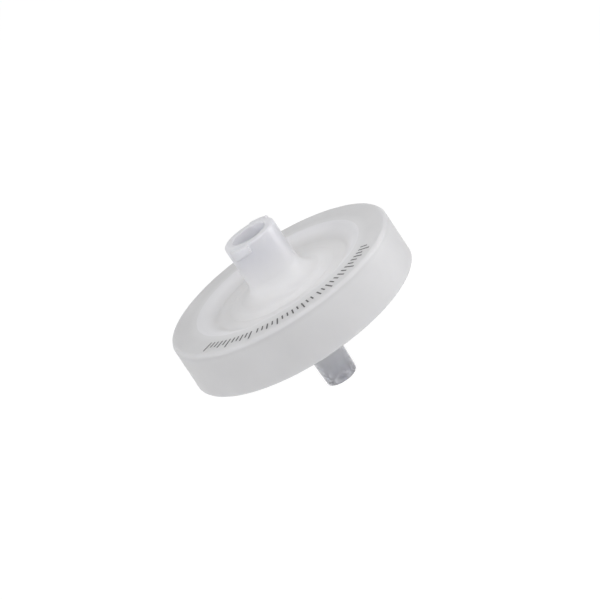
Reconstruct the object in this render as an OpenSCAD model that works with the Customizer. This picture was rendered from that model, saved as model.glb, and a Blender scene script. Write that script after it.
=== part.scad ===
// Disposable membrane syringe filter, in millimetres.
//
// Two polypropylene mouldings clamp a round membrane, and a band moulded around their flanges
// seals them. Liquid enters the female Luer-lock hub on top, spreads under the dished plate,
// passes the membrane, drains over the ribbed support disc and leaves by the Luer-slip outlet.
//
// The origin is the centre of the outlet's end face, and +Z runs up the axis to the inlet's mouth.

/* [Membrane] */
// Diameter of the membrane disc
membrane_d = 25; // [20:0.5:32]
// Thickness of the membrane
membrane_t = 0.2; // [0.1:0.05:0.4]
// Width of the membrane's edge that the housings clamp
clamp_w = 1.3; // [0.8:0.1:2]
// Radial play of the membrane in its seat
seat_gap = 0.05; // [0.02:0.01:0.2]

/* [Housings] */
// Width of the lip around the membrane's seat
lip_w = 0.45; // [0.3:0.05:1]
// Thickness of each housing's flange
flange_t = 1.3; // [0.8:0.1:1.6]
// Thickness of the inlet plate at its floor
inlet_plate_t = 1.2; // [0.9:0.1:2]
// Thickness of the outlet plate at its floor
outlet_plate_t = 1; // [0.8:0.1:2]

/* [Dished faces] */
// Depth of the dish in the top face
top_dish_depth = 1; // [0.6:0.1:1.6]
// Depth of the dish in the underside
under_dish_depth = 1; // [0.6:0.1:1.6]
// Width of the dish's sloping wall
dish_slope_w = 1.95; // [1:0.05:2.4]
// Rounding of the two bends in the dish's wall
dish_round_r = 1; // [0.2:0.1:1.2]
// Flat land between the dish and the sealing band
land_w = 0.3; // [0.1:0.05:0.8]
// Height of the low round boss that carries the hub
boss_h = 0.25; // [0.1:0.05:0.5]
// Flat land on the boss around the hub's flare
boss_land_w = 0.6; // [0.2:0.1:1]
// Width of the boss's sloping edge
boss_slope_w = 1.2; // [0.3:0.1:1.6]

/* [Sealing band] */
// Wall of the band outside the flanges, at its top edge
band_wall = 1.5; // [0.8:0.1:2.5]
// How far the band reaches in over the flanges
band_grip = 2.05; // [1.5:0.05:2.4]
// Draft of the band's side wall, in degrees
band_draft = 1.6; // [0:0.1:3]
// Rounding of the band's top edge
band_top_round = 0.46; // [0.1:0.02:0.6]
// Rounding of the band's bottom edge
band_bottom_round = 0.15; // [0.05:0.05:0.4]

/* [Inlet hub, female Luer lock] */
// How far the hub stands above the band's top face
hub_reach = 6.2; // [5:0.1:9]
// Diameter of the hub at its mouth
hub_d = 6.54; // [6.2:0.02:6.72]
// Draft of the hub's outside, in degrees
hub_draft = 0.3; // [0:0.1:1.5]
// Radius of the flare where the hub meets the boss
hub_flare_r = 1.9; // [0.5:0.1:2.2]
// Rounding of the hub's outer top edge
hub_edge_round = 0.3; // [0.1:0.05:0.5]
// Diameter of the conical socket at its mouth
socket_d = 4.3; // [4.2:0.01:4.32]
// Width of the chamfer at the socket's mouth
socket_lead = 0.12; // [0.05:0.01:0.3]
// Diameter of the passage from the socket to the membrane
inlet_port_d = 1.8; // [1:0.1:2.4]
// Solid left between the socket's floor and the inlet chamber
socket_floor_t = 0.7; // [0.4:0.1:1]

/* [Luer lock lugs] */
// How far a lug stands out from the hub
lug_h = 0.63; // [0.4:0.01:0.7]
// Lead of the lugs' helix
lug_lead = 5.08; // [4:0.01:6]
// Angle that each lug spans, in degrees
lug_span = 38; // [30:1:70]
// Azimuth of the thin end of the first lug, in degrees
lug_azimuth = 78; // [0:1:180]
// Height of a lug's thin end where it meets the hub
lug_root_h = 1.1; // [0.8:0.05:1.6]
// Height of a lug's thin end at its crest
lug_crest_h = 0.7; // [0.4:0.05:1]
// Drop of the lugs' top face below the hub's mouth
lug_drop = 0.1; // [0.02:0.01:0.4]
// Width of the chamfers along a lug's crest
lug_chamfer = 0.12; // [0.05:0.01:0.15]

/* [Outlet, male Luer slip] */
// How far the outlet stands below the band's bottom face
outlet_reach = 9.1; // [7.5:0.1:12]
// Diameter of the outlet cone at its tip
outlet_tip_d = 4; // [3.92:0.01:4.03]
// Rounding of the tip's outer edge
outlet_tip_round = 0.15; // [0.05:0.01:0.3]
// Diameter of the outlet's passage at its tip
outlet_port_d = 2.4; // [1.6:0.1:2.6]
// Draft of the outlet's passage, in degrees
outlet_port_draft = 0.5; // [0:0.1:1]
// Radius of the flare where the outlet meets the plate
outlet_flare_r = 0.8; // [0.3:0.1:1.5]

/* [Inlet chamber] */
// Height of the chamber above the membrane
inlet_chamber_h = 0.5; // [0.3:0.05:0.8]
// Number of radial ribs that spread the flow
spread_ribs = 12; // [6:2:16]
// Width of a spreading rib
spread_rib_w = 0.7; // [0.4:0.1:1]
// Play between the spreading ribs and the membrane
spread_rib_play = 0.15; // [0.05:0.05:0.25]
// Radius at which the long spreading ribs start
spread_rib_start = 2; // [1.6:0.1:3]

/* [Membrane support disc] */
// Radial play of the support disc in its pocket
support_gap = 0.1; // [0.05:0.05:0.3]
// Thickness of the support disc under its ribs
support_base_t = 0.3; // [0.2:0.05:0.6]
// Height of the ribs, which is the depth of the drains
drain_h = 0.6; // [0.3:0.05:1]
// Width of a concentric support rib
support_rib_w = 0.6; // [0.4:0.05:0.8]
// Spacing of the concentric support ribs
support_pitch = 1.2; // [1:0.1:2]
// Inner radius of the first support rib
support_start = 2.2; // [1.8:0.1:3]
// Radial play between the support disc's hole and the outlet's passage
support_hole_gap = 0.2; // [0:0.05:0.4]
// Number of radial drains
drains = 8; // [4:2:12]
// Width of a radial drain
drain_w = 0.8; // [0.4:0.1:1]

/* [Hidden] */
$fn = 96;

// Luer cones taper 6 % on the diameter.
luer_slope = 0.03;

// How far a spreading rib is sunk into the roof, a lug into the hub and a flare into its tube
root_overlap = 0.3;

// How far a cut runs past the surface that it opens
cut_past = 1;

// Heights, stacked up from the outlet's tip
z_bottom = outlet_reach;
z_under_floor = z_bottom + under_dish_depth;
z_pocket = z_under_floor + outlet_plate_t;
z_drain_floor = z_pocket + support_base_t;
z_seat = z_drain_floor + drain_h;
z_joint = z_seat + membrane_t;
z_roof = z_joint + inlet_chamber_h;
z_dish_floor = z_roof + inlet_plate_t;
z_top = z_dish_floor + top_dish_depth;
z_mouth = z_top + hub_reach;
z_boss = z_dish_floor + boss_h;
z_socket_floor = z_roof + socket_floor_t;

// Radii, stacked out and in from the membrane
membrane_r = membrane_d / 2;
chamber_r = membrane_r - clamp_w;
seat_r = membrane_r + seat_gap;
flange_r = seat_r + lip_w;
seam_r = flange_r - band_grip;
dish_top_r = seam_r - land_w;
dish_floor_r = dish_top_r - dish_slope_w;

// The band's side wall, which leans out by its draft towards the bottom
function band_r(z) = flange_r + band_wall + (z_top - z) * tan(band_draft);

// The hub's outside and its socket, and the outlet's outside and its passage
function hub_r(z) = hub_d / 2 + (z_mouth - z) * tan(hub_draft);
function socket_r(z) = socket_d / 2 - (z_mouth - z) * luer_slope;
function outlet_r(z) = outlet_tip_d / 2 + z * luer_slope;
function outlet_port_r(z) = outlet_port_d / 2 + z * tan(outlet_port_draft);

// Radius of the boss's top, which carries the hub's flare
boss_top_r = hub_r(z_boss + hub_flare_r) + hub_flare_r + boss_land_w;

// Half section of a concave flare that joins a tube of radius r to a face at height z.
// side is 1 when the tube stands up from the face and -1 when it hangs below.
module flare_section(r, z, flare_r, side) {
    difference() {
        translate([r - root_overlap, side > 0 ? z : z - flare_r])
            square([flare_r + root_overlap, flare_r]);
        translate([r + flare_r, z + side * flare_r])
            circle(r = flare_r);
    }
}

// The web between a corner and the arc of radius r that rounds it.
// a and b are the directions of the corner's two edges, in degrees.
module corner_web(corner, a, b, r) {
    half = abs(b - a) / 2;
    reach = r / tan(half);
    centre = corner + r / sin(half) * [cos((a + b) / 2), sin((a + b) / 2)];
    difference() {
        polygon([
            corner,
            corner + reach * [cos(a), sin(a)],
            centre,
            corner + reach * [cos(b), sin(b)]
        ]);
        translate(centre)
            circle(r = r);
    }
}

// Half section of the hollow of a dish, with the two bends of its wall rounded.
// It opens upwards when its rim is above its floor, and downwards when it is below.
module dish_hollow(z_floor, z_rim) {
    side = z_rim > z_floor ? 1 : -1;
    depth = abs(z_rim - z_floor);
    bend = atan(depth / dish_slope_w);
    bend_r = min(dish_round_r, land_w / tan(bend / 2));
    translate([0, z_floor])
        scale([1, side])
            union() {
                difference() {
                    polygon([
                        [0, 0],
                        [dish_floor_r, 0],
                        [dish_top_r, depth],
                        [dish_top_r, depth + cut_past],
                        [0, depth + cut_past]
                    ]);
                    corner_web([dish_floor_r, 0], bend, 180, bend_r);
                }
                corner_web([dish_top_r, depth], bend + 180, 360, bend_r);
            }
}

// ---- inlet housing ----

// Half section of the dished plate with its flange and the boss on its floor
module inlet_plate_section() {
    difference() {
        polygon([
            [0, z_roof],
            [chamber_r, z_roof],
            [chamber_r, z_joint],
            [flange_r, z_joint],
            [flange_r, z_joint + flange_t],
            [seam_r, z_joint + flange_t],
            [seam_r, z_top],
            [0, z_top]
        ]);
        dish_hollow(z_dish_floor, z_top);
    }
    polygon([
        [0, z_roof],
        [boss_top_r + boss_slope_w, z_roof],
        [boss_top_r + boss_slope_w, z_dish_floor],
        [boss_top_r, z_boss],
        [0, z_boss]
    ]);
}

// Half section of the hub's outside, with its round top edge and its flare
module hub_section() {
    z_edge = z_mouth - hub_edge_round;
    r_edge = hub_r(z_edge);
    polygon([
        [0, z_roof],
        [hub_r(z_roof), z_roof],
        [r_edge, z_edge],
        [r_edge - hub_edge_round, z_mouth],
        [0, z_mouth]
    ]);
    translate([r_edge - hub_edge_round, z_edge])
        circle(r = hub_edge_round);
    flare_section(hub_r(z_boss + hub_flare_r), z_boss, hub_flare_r, 1);
}

// Half section of the conical socket with its chamfered mouth, and of the passage below it
module socket_section() {
    z_lead = z_mouth - socket_lead;
    polygon([
        [0, z_roof - cut_past],
        [inlet_port_d / 2, z_roof - cut_past],
        [inlet_port_d / 2, z_socket_floor],
        [socket_r(z_socket_floor), z_socket_floor],
        [socket_r(z_lead), z_lead],
        [socket_r(z_lead) + socket_lead + cut_past, z_mouth + cut_past],
        [0, z_mouth + cut_past]
    ]);
}

// Corners of a lug's section at one azimuth: the level top face, the crest with its two chamfers,
// and the sloping face below it, whose helix the collar rides.
function lug_corners(a) =
    let (
        top = z_mouth - lug_drop,
        low = top - lug_root_h - lug_lead * (lug_azimuth - a) / 360,
        crest_low = low + lug_root_h - lug_crest_h,
        root = hub_d / 2 - root_overlap,
        crest = hub_d / 2 + lug_h
    )
    [
        for (corner = [
            [root, top],
            [crest - lug_chamfer, top],
            [crest, top - lug_chamfer],
            [crest, crest_low + lug_chamfer],
            [crest - lug_chamfer, crest_low],
            [root, low]
        ])
        [corner[0] * cos(a), corner[0] * sin(a), corner[1]]
    ];

// One lug, swept in short steps from its thick end to its thin end
module lug() {
    steps = 14;
    corners = 6;
    points = [
        for (i = [0 : steps])
        each lug_corners(lug_azimuth - lug_span * (1 - i / steps))
    ];
    sides = [
        for (i = [0 : steps - 1], j = [0 : corners - 1])
        let (here = corners * i, next = here + corners, k = (j + 1) % corners)
        each [
            [here + j, next + k, here + k],
            [here + j, next + j, next + k]
        ]
    ];
    last = corners * steps;
    ends = [
        for (j = [1 : corners - 2])
        each [
            [0, j, j + 1],
            [last + j + 1, last + j, last]
        ]
    ];
    polyhedron(points = points, faces = concat(sides, ends));
}

// Radial ribs under the roof, every second one short, so that the flow spreads outwards
module spreading_ribs() {
    rib_h = inlet_chamber_h - spread_rib_play;
    rib_end = chamber_r - spread_rib_w;
    rib_mid = (spread_rib_start + rib_end) / 2;
    for (i = [0 : spread_ribs - 1]) {
        start = i % 2 == 0 ? spread_rib_start : rib_mid;
        rotate(i * 360 / spread_ribs)
            translate([start, -spread_rib_w / 2, z_roof - rib_h])
                cube([rib_end - start, spread_rib_w, rib_h + root_overlap]);
    }
}

module inlet_housing() {
    color([0.86, 0.87, 0.9, 0.75])
    union() {
        rotate_extrude()
            difference() {
                union() {
                    inlet_plate_section();
                    hub_section();
                }
                socket_section();
            }
        for (turn = [0, 180])
            rotate(turn)
                lug();
        spreading_ribs();
    }
}

// ---- outlet housing ----

// Half section of the outlet plate: its flange, the membrane's seat, the pocket and the dish
module outlet_plate_section() {
    difference() {
        polygon([
            [0, z_bottom],
            [seam_r, z_bottom],
            [seam_r, z_seat - flange_t],
            [flange_r, z_seat - flange_t],
            [flange_r, z_joint],
            [seat_r, z_joint],
            [seat_r, z_seat],
            [chamber_r, z_seat],
            [chamber_r, z_pocket],
            [0, z_pocket]
        ]);
        dish_hollow(z_under_floor, z_bottom);
    }
}

// Half section of the male cone, with its round tip edge and its flare
module outlet_section() {
    z_edge = outlet_tip_round;
    r_edge = outlet_r(z_edge);
    polygon([
        [0, 0],
        [r_edge - outlet_tip_round, 0],
        [r_edge, z_edge],
        [outlet_r(z_pocket), z_pocket],
        [0, z_pocket]
    ]);
    translate([r_edge - outlet_tip_round, z_edge])
        circle(r = outlet_tip_round);
    flare_section(outlet_r(z_under_floor - outlet_flare_r), z_under_floor, outlet_flare_r, -1);
}

// Half section of the passage through the cone
module outlet_port_section() {
    polygon([
        [0, -cut_past],
        [outlet_port_r(-cut_past), -cut_past],
        [outlet_port_r(z_pocket + cut_past), z_pocket + cut_past],
        [0, z_pocket + cut_past]
    ]);
}

module outlet_housing() {
    color([0.72, 0.74, 0.77, 0.75])
    rotate_extrude()
        difference() {
            union() {
                outlet_plate_section();
                outlet_section();
            }
            outlet_port_section();
        }
}

// ---- membrane support ----

// Concentric ribs crossed by radial drains, which hold the membrane up and lead the filtrate in
module support_ribs() {
    last = chamber_r - 2 * support_rib_w;
    difference() {
        for (r = [support_start : support_pitch : last])
            difference() {
                circle(r = r + support_rib_w);
                circle(r = r);
            }
        for (i = [0 : drains - 1])
            rotate((i + 0.5) * 360 / drains)
                translate([0, -drain_w / 2])
                    square([chamber_r, drain_w]);
    }
}

// A ribbed disc that lies loose in the outlet plate's pocket, with a hole over the passage
module membrane_support() {
    color([0.9, 0.9, 0.9])
    union() {
        translate([0, 0, z_pocket])
            linear_extrude(height = support_base_t)
                difference() {
                    circle(r = chamber_r - support_gap);
                    circle(r = outlet_port_r(z_pocket) + support_hole_gap);
                }
        translate([0, 0, z_drain_floor - support_base_t / 2])
            linear_extrude(height = drain_h + support_base_t / 2)
                support_ribs();
    }
}

// ---- membrane ----

module membrane() {
    color([0.97, 0.97, 0.96])
    translate([0, 0, z_seat])
        cylinder(r = membrane_r, h = membrane_t);
}

// ---- sealing band ----

// Half section of the band: a C that closes over both flanges
module band_section() {
    z_hi = z_top - band_top_round;
    z_lo = z_bottom + band_bottom_round;
    difference() {
        union() {
            polygon([
                [seam_r, z_bottom],
                [band_r(z_lo) - band_bottom_round, z_bottom],
                [band_r(z_lo), z_lo],
                [band_r(z_hi), z_hi],
                [band_r(z_hi) - band_top_round, z_top],
                [seam_r, z_top]
            ]);
            translate([band_r(z_hi) - band_top_round, z_hi])
                circle(r = band_top_round);
            translate([band_r(z_lo) - band_bottom_round, z_lo])
                circle(r = band_bottom_round);
        }
        translate([0, z_seat - flange_t])
            square([flange_r, z_joint + flange_t - (z_seat - flange_t)]);
    }
}

module sealing_band() {
    color([0.83, 0.84, 0.85, 0.75])
    rotate_extrude()
        band_section();
}

inlet_housing();
outlet_housing();
membrane_support();
membrane();
sealing_band();
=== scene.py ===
"""Looks of a disposable syringe filter: plastics, membrane, printed ticks, floor, lights, camera.

All lengths are in metres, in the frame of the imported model: the origin is the centre of the
outlet's end face, and +Z runs up the axis to the inlet's mouth.
"""

import math

import bmesh
import bpy
from mathutils import Matrix, Vector

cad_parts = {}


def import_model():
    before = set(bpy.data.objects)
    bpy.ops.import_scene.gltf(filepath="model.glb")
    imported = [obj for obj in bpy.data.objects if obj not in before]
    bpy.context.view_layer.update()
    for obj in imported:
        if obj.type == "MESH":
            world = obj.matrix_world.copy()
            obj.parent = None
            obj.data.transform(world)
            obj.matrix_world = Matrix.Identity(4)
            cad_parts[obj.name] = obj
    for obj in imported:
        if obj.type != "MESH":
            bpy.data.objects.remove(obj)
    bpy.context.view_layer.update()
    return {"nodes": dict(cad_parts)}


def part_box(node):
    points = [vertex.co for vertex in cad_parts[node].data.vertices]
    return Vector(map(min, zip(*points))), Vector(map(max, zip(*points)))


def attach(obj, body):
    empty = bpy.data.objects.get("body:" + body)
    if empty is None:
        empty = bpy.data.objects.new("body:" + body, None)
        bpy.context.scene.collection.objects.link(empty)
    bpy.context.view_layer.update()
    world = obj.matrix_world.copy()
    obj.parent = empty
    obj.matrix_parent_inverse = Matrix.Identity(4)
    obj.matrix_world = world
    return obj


MM = 0.001

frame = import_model()
nodes = frame["nodes"]

band_low, band_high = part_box("sealing_band")
band_top = band_high.z
hub_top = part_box("inlet_housing")[1].z
disc_centre = Vector((0, 0, (band_low.z + band_high.z) / 2))


# ---- node graphs ----


class Graph:
    """A node tree, emptied, with short ways to fill it. Each value is a number or an output."""

    def __init__(self, tree):
        tree.nodes.clear()
        self.tree = tree

    def feed(self, socket, value):
        """Joins an output to an input, or sets the input to a plain value."""
        if isinstance(value, bpy.types.NodeSocket):
            self.tree.links.new(value, socket)
        else:
            socket.default_value = value

    def node(self, kind, **inputs):
        """A new node with the named inputs. An underscore stands for a space."""
        made = self.tree.nodes.new(kind)
        for name, value in inputs.items():
            self.feed(made.inputs[name.replace("_", " ")], value)
        return made

    def calculate(self, kind, operation, *values):
        """A Math or Vector Math node with its inputs in order."""
        made = self.tree.nodes.new(kind)
        made.operation = operation
        for socket, value in zip(made.inputs, values):
            self.feed(socket, value)
        return made

    def math(self, operation, *values):
        return self.calculate("ShaderNodeMath", operation, *values).outputs["Value"]

    def length(self, vector):
        return self.calculate("ShaderNodeVectorMath", "LENGTH", vector).outputs["Value"]

    def ramp(self, value, start, end, low, high, smooth=True):
        """Goes from low to high while the value goes from start to end."""
        made = self.node(
            "ShaderNodeMapRange", Value=value, From_Min=start, From_Max=end, To_Min=low, To_Max=high
        )
        if smooth:
            made.interpolation_type = "SMOOTHSTEP"
        return made.outputs["Result"]

    def tones(self, share, first, second, start=0.0, end=1.0):
        """Goes from the first colour to the second while the share goes from start to end."""
        made = self.node("ShaderNodeValToRGB", Fac=share)
        for stop, place, colour in zip(made.color_ramp.elements, (start, end), (first, second)):
            stop.position = place
            stop.color = (*colour, 1)
        return made.outputs["Color"]

    def tinted(self, colour, share, tint):
        """The colour, multiplied by the tint where the share is 1."""
        shade = self.tones(share, (1, 1, 1), tint)
        times = self.calculate("ShaderNodeVectorMath", "MULTIPLY", colour, shade)
        return times.outputs["Vector"]

    def place(self):
        """The point on the object, in the object's own frame."""
        return self.node("ShaderNodeTexCoord").outputs["Object"]

    def noise(self, place, scale, detail, roughness=0.5):
        """Noise with the given number of cells per metre."""
        made = self.node(
            "ShaderNodeTexNoise", Vector=place, Scale=scale, Detail=detail, Roughness=roughness
        )
        return made.outputs["Fac"]

    def bump(self, height, strength, distance):
        made = self.node("ShaderNodeBump", Height=height, Strength=strength, Distance=distance)
        return made.outputs["Normal"]

    def mix(self, share, first, second):
        """One shader where the share is 0, and the other where it is 1."""
        made = self.tree.nodes.new("ShaderNodeMixShader")
        for socket, value in zip(made.inputs, (share, first, second)):
            self.feed(socket, value)
        return made.outputs["Shader"]


def new_material(name):
    """A material with an empty node tree. Returns (material, graph)."""
    material = bpy.data.materials.new(name)
    material.use_nodes = True
    return material, Graph(material.node_tree)


# ---- materials ----

PLASTIC_IOR = 1.49
PLASTIC_SPECULAR = 0.3
# How far red, green and blue spread inside, as shares of the scatter depth
SCATTER_BY_COLOUR = (1.0, 1.02, 1.08)

SEAM_RADIUS = 10.95 * MM
# From the fused seam, the light inside the plastic fades in between these distances
SEAM_SCATTER = (0.3 * MM, 2.2 * MM)
# The painted light and shade at the seam reach this far
SEAM_REACH = 1.3 * MM

# The middle part of a noise, which holds nearly all of its values
NOISE_LOW, NOISE_HIGH = 0.3, 0.7
POLISH_VARIATION = 0.03
GRAIN_STRENGTH = 0.25


def moulded_plastic(
    name,
    colour,
    dark,
    roughness,
    scatter_depth,
    grain_depth,
    thin_wall_and_shade_heights=(0.0, 1.0),
    tint=(1, 1, 1),
    clearness=0.0,
    seam_painted_tone=1.0,
):
    """Natural polypropylene: milky, with faint flow clouds, a fine grain and light inside.

    colour and dark are the two tones of the clouds. roughness is (where thick, where thin).
    Between the two heights given for the tint the plastic takes the tint. On the inlet and the
    outlet the wall gets thin there and the share clearness of the light goes straight through; on
    the sealing band the tint is painted shade that darkens the top face. At the fused seam, where
    two mouldings meet, nothing scatters and the colour is multiplied by the seam factor: painted
    light where it is above 1, painted shade where it is below 1.
    """
    material, graph = new_material(name)
    place = graph.place()
    xyz = graph.node("ShaderNodeSeparateXYZ", Vector=place).outputs
    height = xyz["Z"]
    flat = graph.node("ShaderNodeCombineXYZ", X=xyz["X"], Y=xyz["Y"]).outputs["Vector"]
    past_seam = graph.math("SUBTRACT", graph.length(flat), SEAM_RADIUS)
    from_seam = graph.math("ABSOLUTE", past_seam)

    clouds = graph.noise(place, scale=190.0, detail=3.0, roughness=0.55)
    base = graph.tones(clouds, dark, colour, NOISE_LOW, NOISE_HIGH)
    # Near the seam the colour is multiplied by the seam factor: painted light above 1, painted
    # shade below 1
    near_seam = graph.ramp(from_seam, 0.0, SEAM_REACH, 1.0, 0.0)
    base = graph.tinted(base, near_seam, (seam_painted_tone, seam_painted_tone, seam_painted_tone))
    # Between the given heights: the thin wall's own tint on the inlet and outlet, painted shade on
    # the band's top face
    base = graph.tinted(base, graph.ramp(height, *thin_wall_and_shade_heights, 0.0, 1.0), tint)

    smears = graph.noise(place, scale=420.0, detail=2.0)
    uneven = graph.ramp(smears, NOISE_LOW, NOISE_HIGH, -POLISH_VARIATION, POLISH_VARIATION)
    grain = graph.noise(place, scale=9000.0, detail=2.0)

    shader = graph.node(
        "ShaderNodeBsdfPrincipled",
        Base_Color=base,
        Roughness=graph.math("ADD", graph.ramp(height, *thin_wall_and_shade_heights, *roughness), uneven),
        IOR=PLASTIC_IOR,
        Specular_IOR_Level=PLASTIC_SPECULAR,
        Normal=graph.bump(grain, GRAIN_STRENGTH, grain_depth),
        Subsurface_Weight=graph.ramp(from_seam, *SEAM_SCATTER, 0.0, 1.0),
        Subsurface_Radius=SCATTER_BY_COLOUR,
        Subsurface_Scale=scatter_depth,
    )
    shader.subsurface_method = "RANDOM_WALK"
    if clearness:
        clear = graph.ramp(height, *thin_wall_and_shade_heights, 0.0, clearness)
        graph.feed(shader.inputs["Transmission Weight"], clear)
    graph.node("ShaderNodeOutputMaterial", Surface=shader.outputs["BSDF"])
    return material


def membrane_paper():
    """White porous membrane with a felt-like grain."""
    material, graph = new_material("membrane_paper")
    felt = graph.noise(graph.place(), scale=3500.0, detail=4.0)
    shader = graph.node(
        "ShaderNodeBsdfPrincipled",
        Base_Color=graph.tones(felt, (0.82, 0.82, 0.81), (0.92, 0.92, 0.91)),
        Roughness=0.85,
        Normal=graph.bump(felt, strength=0.4, distance=0.02 * MM),
    )
    graph.node("ShaderNodeOutputMaterial", Surface=shader.outputs["BSDF"])
    return material


def printed_ink():
    """Dark pad-printed ink, a little uneven where it dried thin."""
    material, graph = new_material("printed_ink")
    cover = graph.noise(graph.place(), scale=2600.0, detail=3.0)
    shader = graph.node(
        "ShaderNodeBsdfPrincipled",
        Base_Color=graph.tones(cover, (0.09, 0.09, 0.09), (0.02, 0.02, 0.022), 0.35, 0.75),
        Roughness=0.55,
    )
    graph.node("ShaderNodeOutputMaterial", Surface=shader.outputs["BSDF"])
    return material


# ---- CAD nodes ----

finishes = {
    "inlet_housing": moulded_plastic(
        "inlet_plastic",
        colour=(0.79, 0.79, 0.8),
        dark=(0.76, 0.76, 0.77),
        roughness=(0.46, 0.32),
        scatter_depth=4.0 * MM,
        grain_depth=0.004 * MM,
        thin_wall_and_shade_heights=(band_top, hub_top - 1 * MM),
        tint=(0.95, 0.955, 1.0),
        clearness=0.22,
        # Painted shade: the inlet is drawn darker near the seam
        seam_painted_tone=0.9,
    ),
    "outlet_housing": moulded_plastic(
        "outlet_plastic",
        colour=(0.72, 0.725, 0.74),
        dark=(0.69, 0.695, 0.71),
        roughness=(0.06, 0.06),
        scatter_depth=1.5 * MM,
        grain_depth=0.0005 * MM,
        thin_wall_and_shade_heights=(6.0 * MM, 0.0),
        tint=(0.89, 0.89, 0.92),
        clearness=0.6,
    ),
    "sealing_band": moulded_plastic(
        "band_plastic",
        colour=(0.65, 0.65, 0.65),
        dark=(0.62, 0.62, 0.62),
        roughness=(0.5, 0.5),
        scatter_depth=0.7 * MM,
        grain_depth=0.006 * MM,
        # Painted shade: the band's top face and its upper rounding are drawn darker than its side
        thin_wall_and_shade_heights=(band_top - 1 * MM, band_top - 0.3 * MM),
        tint=(0.93, 0.93, 0.93),
        # Painted light: the band is drawn lighter near the seam
        seam_painted_tone=1.09,
    ),
    "membrane_support": moulded_plastic(
        "support_plastic",
        colour=(0.72, 0.72, 0.73),
        dark=(0.69, 0.69, 0.7),
        roughness=(0.4, 0.4),
        scatter_depth=1.5 * MM,
        grain_depth=0.004 * MM,
    ),
    "membrane": membrane_paper(),
}
for name, obj in nodes.items():
    obj.data.materials.clear()
    obj.data.materials.append(finishes[name])
    obj.data.shade_smooth()


# ---- printed ticks ----

# Groups of plain radial ticks around the front of the band's top face: first and last azimuth,
# in degrees
TICK_GROUPS = [(-146, -131), (-128, -117), (-113, -81), (-77, -38)]
TICK_PITCH = 0.62 * MM
TICK_INNER = 12.1 * MM
TICK_LENGTHS = [1.5 * MM, 0.9 * MM, 0.9 * MM, 1.2 * MM, 0.9 * MM]
TICK_WIDTH = 0.17 * MM
INK_HEIGHT = 0.012 * MM


def printed_ticks():
    """One mesh of thin raised bars, each a closed prism that stands on the band's top face."""
    mesh = bmesh.new()
    count = 0
    for first, last in TICK_GROUPS:
        span = math.radians(last - first) * TICK_INNER
        steps = round(span / TICK_PITCH)
        for i in range(steps + 1):
            azimuth = math.radians(first + (last - first) * i / steps)
            along = Vector((math.cos(azimuth), math.sin(azimuth), 0))
            across = Vector((-math.sin(azimuth), math.cos(azimuth), 0)) * TICK_WIDTH / 2
            inner = along * TICK_INNER
            outer = along * (TICK_INNER + TICK_LENGTHS[count % len(TICK_LENGTHS)])
            count += 1
            ring = [inner - across, outer - across, outer + across, inner + across]
            low = [mesh.verts.new(p + Vector((0, 0, band_top))) for p in ring]
            high = [mesh.verts.new(p + Vector((0, 0, band_top + INK_HEIGHT))) for p in ring]
            mesh.faces.new(high)
            mesh.faces.new(low[::-1])
            for k in range(4):
                n = (k + 1) % 4
                mesh.faces.new((low[k], low[n], high[n], high[k]))
    data = bpy.data.meshes.new("printed_ticks")
    mesh.to_mesh(data)
    mesh.free()
    obj = bpy.data.objects.new("printed_ticks", data)
    bpy.context.scene.collection.objects.link(obj)
    data.materials.append(printed_ink())
    return obj


ticks = printed_ticks()
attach(ticks, "root")


# ---- stage ----

FLOOR_HALF = 0.9
FLOOR_ALBEDO = 0.8
# The floor's glow when it is seen directly, and its share against the card under it, which
# keeps a faint shadow
FLOOR_GLOW = 1.08
GLOW_SHARE = 0.9
# Straight under the outlet's passage the tip keeps the light off: the glow fades in between
# these distances from the axis
TIP_SHADE = (0.55 * MM, 0.9 * MM)

STUDIO_FILL = 0.4
WHITE = (1, 1, 1, 1)

LAMP_COLOUR = (0.98, 0.975, 1.0)
# Square lamps that face the disc: name, azimuth and elevation in degrees, distance and side in
# metres, power in watts, and whether the lamp shows in reflections and lights nothing else
SOFTBOXES = [
    ("front", -90, 35, 0.1, 0.09, 0.029, False),
    ("right", 0, 40, 0.1, 0.09, 0.028, False),
    ("top", -90, 75, 0.08, 0.07, 0.01, False),
    ("fill", -165, 10, 0.4, 0.5, 1.0, False),
    ("side", -40, 5, 0.06, 0.04, 0.007, False),
    ("strip", -2, 0, 0.08, 0.03, 0.055, True),
]

# The lens looks down on the disc from the front, and the camera is rolled so that the axis
# leans to the left
CAMERA_ELEVATION = math.radians(20.07)
CAMERA_ROLL = math.radians(-33.4)
CAMERA_DISTANCE = 166.3 * MM
CAMERA_CLIP = (5 * MM, 5.0)
LENS = 85.97
AIM_CENTRE = Vector((0, 0, 12 * MM))
# Where that centre lies in the picture, from the picture's centre, measured at the disc
AIM_RIGHT = -1.197 * MM
AIM_UP = 0.453 * MM


def seen_directly(graph):
    """1 for a ray from the camera, a mirror-like or a clear surface, and 0 for plain light."""
    rays = graph.node("ShaderNodeLightPath").outputs
    direct = graph.math("MAXIMUM", rays["Is Camera Ray"], rays["Is Glossy Ray"])
    return graph.math("MAXIMUM", direct, rays["Is Transmission Ray"])


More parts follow.
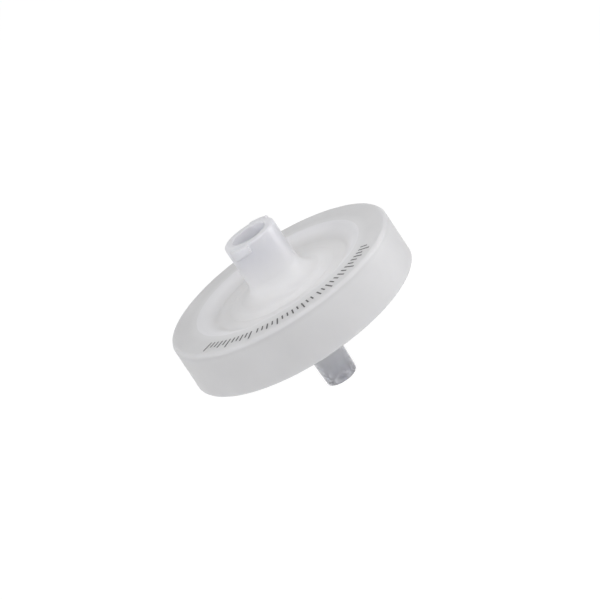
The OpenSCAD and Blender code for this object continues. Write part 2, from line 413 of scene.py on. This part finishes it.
def floor():
    """A wide pale floor under the outlet's tip. It shows white, and is open from below."""
    material, graph = new_material("pale_floor")
    from_axis = graph.length(graph.place())
    beyond_tip = graph.ramp(from_axis, *TIP_SHADE, 0.0, GLOW_SHARE, smooth=False)
    share = graph.math("MULTIPLY", seen_directly(graph), beyond_tip)
    albedo = (FLOOR_ALBEDO, FLOOR_ALBEDO, FLOOR_ALBEDO, 1)
    card = graph.node("ShaderNodeBsdfDiffuse", Color=albedo).outputs["BSDF"]
    glow = graph.node("ShaderNodeEmission", Strength=FLOOR_GLOW).outputs["Emission"]
    clear = graph.node("ShaderNodeBsdfTransparent").outputs["BSDF"]
    below = graph.node("ShaderNodeNewGeometry").outputs["Backfacing"]
    surface = graph.mix(below, graph.mix(share, card, glow), clear)
    graph.node("ShaderNodeOutputMaterial", Surface=surface)

    h = FLOOR_HALF
    data = bpy.data.meshes.new("floor")
    data.from_pydata([(-h, -h, 0), (h, -h, 0), (h, h, 0), (-h, h, 0)], [], [(0, 1, 2, 3)])
    obj = bpy.data.objects.new("floor", data)
    bpy.context.scene.collection.objects.link(obj)
    data.materials.append(material)


def world():
    """Even studio light, and plain white where the surroundings are seen directly."""
    made = bpy.data.worlds.new("studio")
    bpy.context.scene.world = made
    made.use_nodes = True
    graph = Graph(made.node_tree)
    fill = graph.node("ShaderNodeBackground", Color=WHITE, Strength=STUDIO_FILL)
    white = graph.node("ShaderNodeBackground", Color=WHITE, Strength=1.0)
    backgrounds = fill.outputs["Background"], white.outputs["Background"]
    graph.node("ShaderNodeOutputWorld", Surface=graph.mix(seen_directly(graph), *backgrounds))


def softbox(name, azimuth, elevation, distance, side, power, sheen_only):
    """A square area lamp that faces the disc and isn't seen by the camera."""
    lamp = bpy.data.lights.new(name, "AREA")
    lamp.color = LAMP_COLOUR
    lamp.shape = "SQUARE"
    lamp.size = side
    lamp.energy = power
    a, e = math.radians(azimuth), math.radians(elevation)
    aim = Vector((math.cos(a) * math.cos(e), math.sin(a) * math.cos(e), math.sin(e)))
    obj = bpy.data.objects.new(name, lamp)
    obj.location = disc_centre + aim * distance
    obj.rotation_mode = "QUATERNION"
    obj.rotation_quaternion = aim.to_track_quat("Z", "Y")
    obj.visible_camera = False
    obj.visible_diffuse = not sheen_only
    obj.visible_transmission = not sheen_only
    bpy.context.scene.collection.objects.link(obj)


def camera():
    """The camera at the viewing angle, aimed with plain offsets."""
    back = Vector((0, -math.cos(CAMERA_ELEVATION), math.sin(CAMERA_ELEVATION)))
    level = Vector((1, 0, 0))
    above = back.cross(level)
    right = math.cos(CAMERA_ROLL) * level + math.sin(CAMERA_ROLL) * above
    up = back.cross(right)
    data = bpy.data.cameras.new("camera")
    data.lens = LENS
    data.clip_start, data.clip_end = CAMERA_CLIP
    obj = bpy.data.objects.new("camera", data)
    obj.location = AIM_CENTRE + back * CAMERA_DISTANCE - right * AIM_RIGHT - up * AIM_UP
    obj.rotation_mode = "QUATERNION"
    axes = [[right[i], up[i], back[i]] for i in range(3)]
    obj.rotation_quaternion = Matrix(axes).to_quaternion()
    bpy.context.scene.collection.objects.link(obj)
    bpy.context.scene.camera = obj


floor()
world()
for softbox_row in SOFTBOXES:
    softbox(*softbox_row)
camera()
bpy.context.scene.view_settings.view_transform = "Standard"
